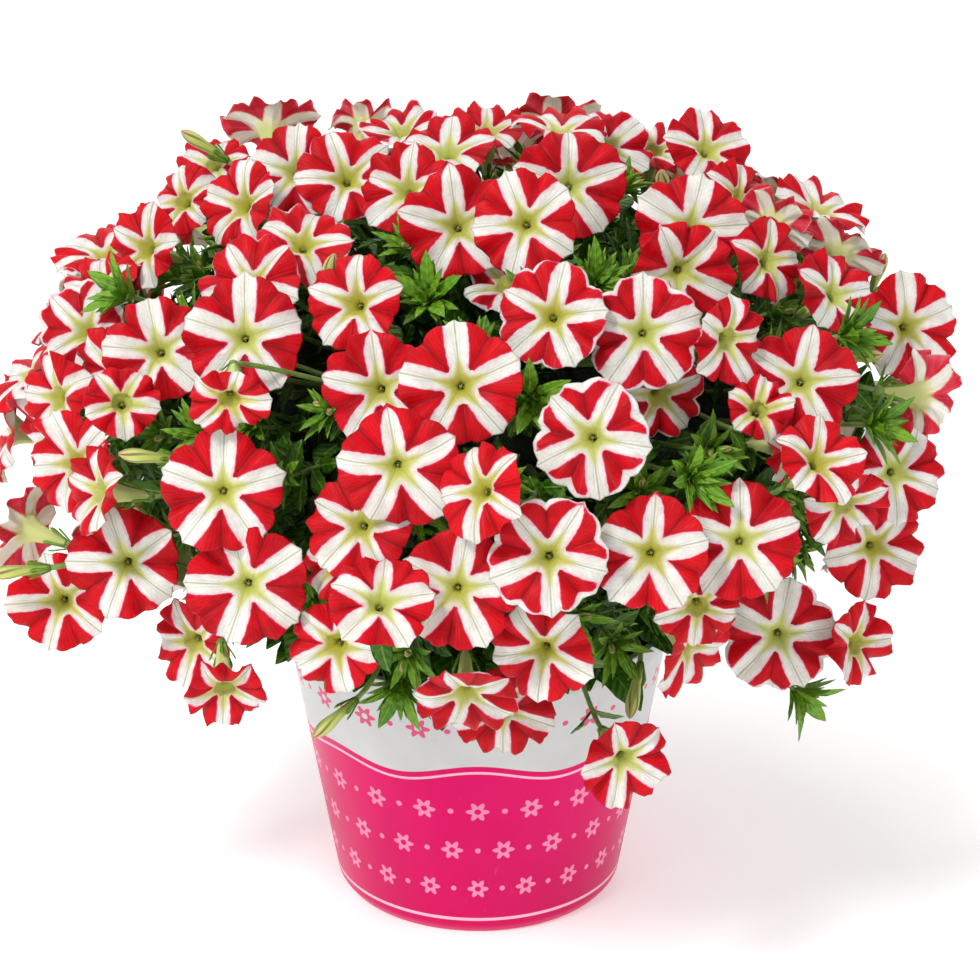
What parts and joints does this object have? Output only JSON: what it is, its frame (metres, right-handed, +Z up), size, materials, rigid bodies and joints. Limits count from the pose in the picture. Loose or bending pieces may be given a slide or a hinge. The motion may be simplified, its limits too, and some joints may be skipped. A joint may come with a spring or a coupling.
{
  "type": "potted petunia",
  "caption": "Mounded petunia in a printed tapering pot: star-marked trumpet blooms with a white ray on each lobe, furled buds and oval leaves over a dense leafy inside.",
  "frame": {"origin": "middle of the pot's underside, on the floor", "axes": "+Z up out of the pot, +X to the viewer's right, -Y towards the viewer of the picture"},
  "size_m": [0.5333, 0.5441, 0.4552],
  "materials": {
    "printed_pot": "glossy printed plastic, hot pink below and pale grey above",
    "potting_soil": "moist dark potting soil",
    "foliage": "soft hairy green leaves, stems and calyces",
    "petals": "velvety red petals with white rays and a yellow-green throat"
  },
  "bodies": {
    "root": {"pot": "printed_pot", "soil": "potting_soil", "leafy_stem_1": "foliage", "leafy_stem_2": "foliage", "leafy_stem_3": "foliage", "leafy_stem_4": "foliage", "leafy_stem_5": "foliage", "leafy_stem_6": "foliage", "leafy_stem_7": "foliage", "leafy_stem_8": "foliage", "spray_1": "petals", "spray_2": "petals", "spray_3": "petals", "spray_4": "petals", "spray_5": "petals", "spray_6": "petals", "spray_7": "petals", "spray_8": "petals", "spray_9": "petals", "spray_10": "petals", "spray_11": "petals", "spray_12": "petals", "spray_13": "petals", "spray_14": "petals", "spray_15": "petals", "spray_16": "petals", "spray_17": "petals", "spray_18": "petals", "spray_19": "petals", "spray_20": "petals", "spray_21": "petals", "spray_22": "petals", "spray_23": "petals", "spray_24": "petals", "spray_25": "petals", "spray_26": "petals", "spray_27": "petals", "spray_28": "petals", "spray_29": "petals", "spray_30": "petals", "spray_31": "petals", "spray_32": "petals", "spray_33": "petals", "spray_34": "petals", "spray_35": "petals", "spray_36": "petals", "spray_37": "petals", "spray_38": "petals", "spray_39": "petals", "spray_40": "petals", "spray_41": "petals", "spray_42": "petals"}
  },
  "joints": []
}
